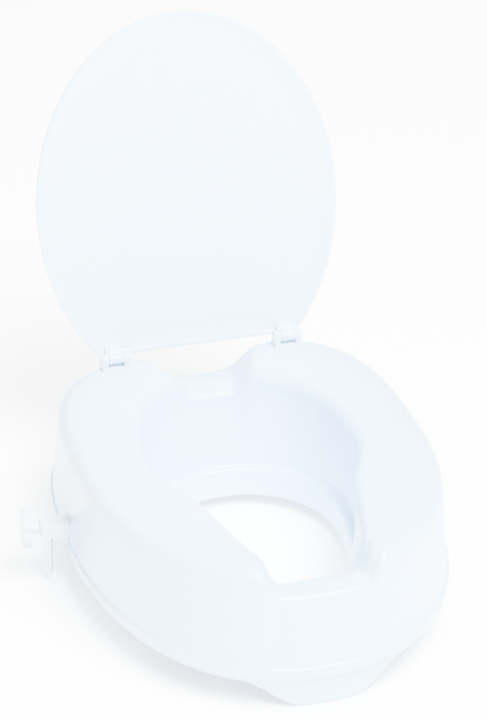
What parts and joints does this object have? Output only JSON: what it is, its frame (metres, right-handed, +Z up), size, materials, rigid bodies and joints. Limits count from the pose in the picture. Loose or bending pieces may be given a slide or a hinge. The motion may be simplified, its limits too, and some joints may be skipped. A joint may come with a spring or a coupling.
{
  "type": "raised toilet seat",
  "caption": "Raised toilet seat: moulded ring with front and rear dips, hinged oval lid and a screw clamp on each side that grips the bowl rim.",
  "frame": {"origin": "middle of the bowl opening on the plane of the bowl rim, on which the bearing ring under the seat rests", "axes": "+Z up, the front of the seat faces -Y, +X to the right seen from the front"},
  "size_m": [0.4332, 0.5336, 0.4714],
  "materials": {
    "shell_plastic": "glossy white moulded polypropylene, slightly bluish",
    "lid_plastic": "glossy white moulded polypropylene",
    "hinge_plastic": "white moulded nylon, slightly translucent",
    "clamp_plastic": "white moulded polypropylene, satin",
    "wheel_plastic": "white moulded plastic, satin gloss",
    "grip_rubber": "light grey ribbed elastomer",
    "pad_rubber": "light grey soft rubber",
    "screw_steel": "plain stainless steel"
  },
  "bodies": {
    "seat": {"seat_shell": "shell_plastic", "left_hinge_mount": "hinge_plastic", "right_hinge_mount": "hinge_plastic", "left_hinge_pin": "hinge_plastic", "right_hinge_pin": "hinge_plastic", "hinge_screws": "screw_steel", "left_captive_nut": "screw_steel", "right_captive_nut": "screw_steel", "front_left_rim_pad": "pad_rubber", "front_right_rim_pad": "pad_rubber", "rear_left_rim_pad": "pad_rubber", "rear_right_rim_pad": "pad_rubber"},
    "lid": {"lid": "lid_plastic"},
    "left_clamp": {"left_clamp_bracket": "clamp_plastic", "left_jaw_grip": "grip_rubber"},
    "left_screw": {"left_hand_wheel": "wheel_plastic", "left_clamp_screw": "screw_steel", "left_retaining_ring": "screw_steel", "left_thrust_washer": "screw_steel"},
    "right_clamp": {"right_clamp_bracket": "clamp_plastic", "right_jaw_grip": "grip_rubber"},
    "right_screw": {"right_hand_wheel": "wheel_plastic", "right_clamp_screw": "screw_steel", "right_retaining_ring": "screw_steel", "right_thrust_washer": "screw_steel"}
  },
  "joints": [
    {"name": "lid_hinge", "type": "hinge", "parent": "seat", "child": "lid", "pos_m": [0, 0.198, 0.1106], "axis": [1, 0, 0], "range_deg": [0, 110.25]},
    {"name": "left_clamp_slide", "type": "slide", "parent": "seat", "child": "left_clamp", "axis": [0.9903, -0.1392, 0], "range_m": [0, 0.026]},
    {"name": "left_screw_turn", "type": "hinge", "parent": "left_clamp", "child": "left_screw", "pos_m": [-0.18, 0.042, 0.0235], "axis": [0.9903, -0.1392, 0], "range_deg": [0, 2340]},
    {"name": "right_clamp_slide", "type": "slide", "parent": "seat", "child": "right_clamp", "axis": [0.9903, 0.1392, 0], "range_m": [0, 0.026]},
    {"name": "right_screw_turn", "type": "hinge", "parent": "right_clamp", "child": "right_screw", "pos_m": [0.18, 0.042, 0.0235], "axis": [0.9903, 0.1392, 0], "range_deg": [0, 2340]}
  ],
  "couplings": [
    {"joint": "left_clamp_slide", "follows": "left_screw_turn", "m_per_rad": 0.00063662},
    {"joint": "right_clamp_slide", "follows": "right_screw_turn", "m_per_rad": 0.00063662}
  ]
}
